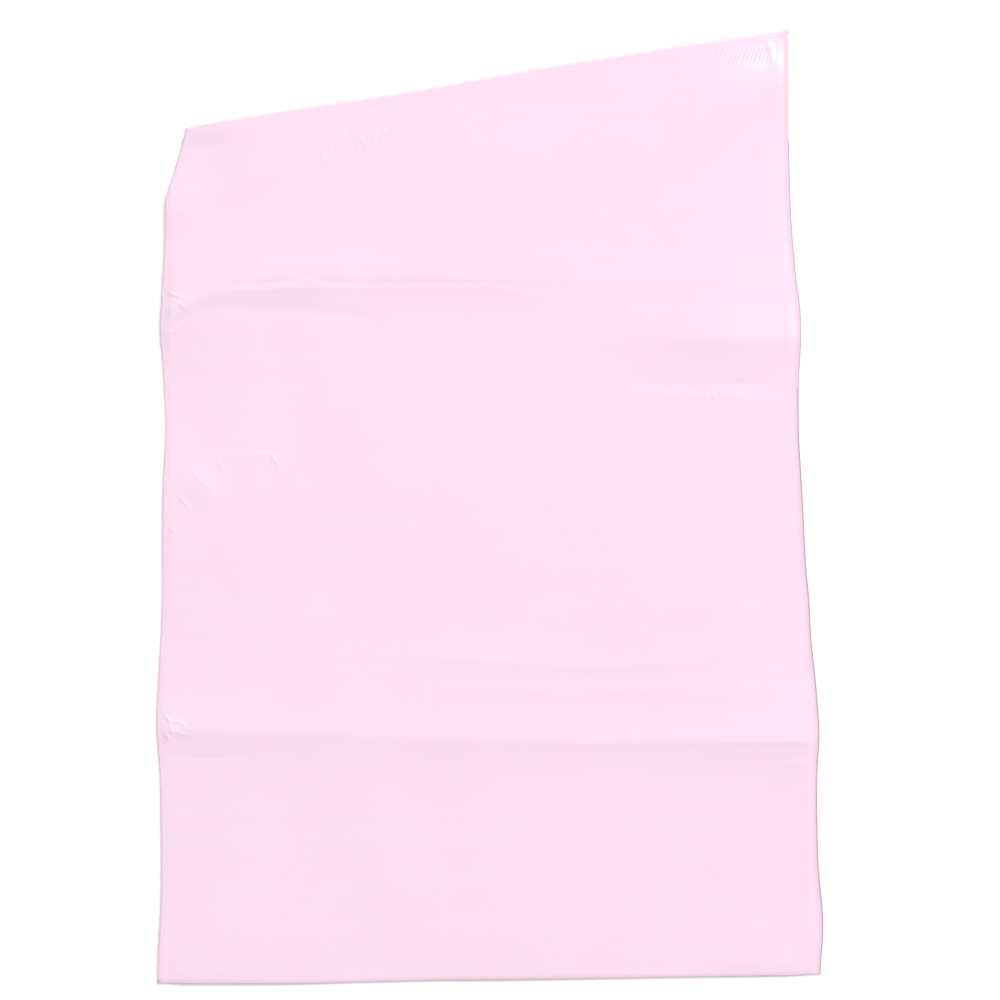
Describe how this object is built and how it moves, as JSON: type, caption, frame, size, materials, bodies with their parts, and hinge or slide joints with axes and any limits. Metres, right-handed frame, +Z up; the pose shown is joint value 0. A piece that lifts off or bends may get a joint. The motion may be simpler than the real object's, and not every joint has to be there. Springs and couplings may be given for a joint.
{
  "type": "poly mailer bag",
  "caption": "Flat empty poly mailer in pink film with a bottom fold, welded sides, an open mouth and a flap whose edge is turned under over its adhesive line and liner.",
  "frame": {"origin": "under the middle of the bag's box, on the surface that it lies on", "axes": "+X across the bag, +Y from the bottom fold towards the flap, +Z up out of the back panel"},
  "size_m": [0.2548, 0.3772, 0.0043],
  "materials": {
    "film": "glossy pink outside, silver grey inside",
    "adhesive": "glossy hot melt",
    "liner": "smooth release film"
  },
  "bodies": {
    "root": {"mailer_film": "film", "adhesive_line": "adhesive", "release_liner": "liner"}
  },
  "joints": []
}
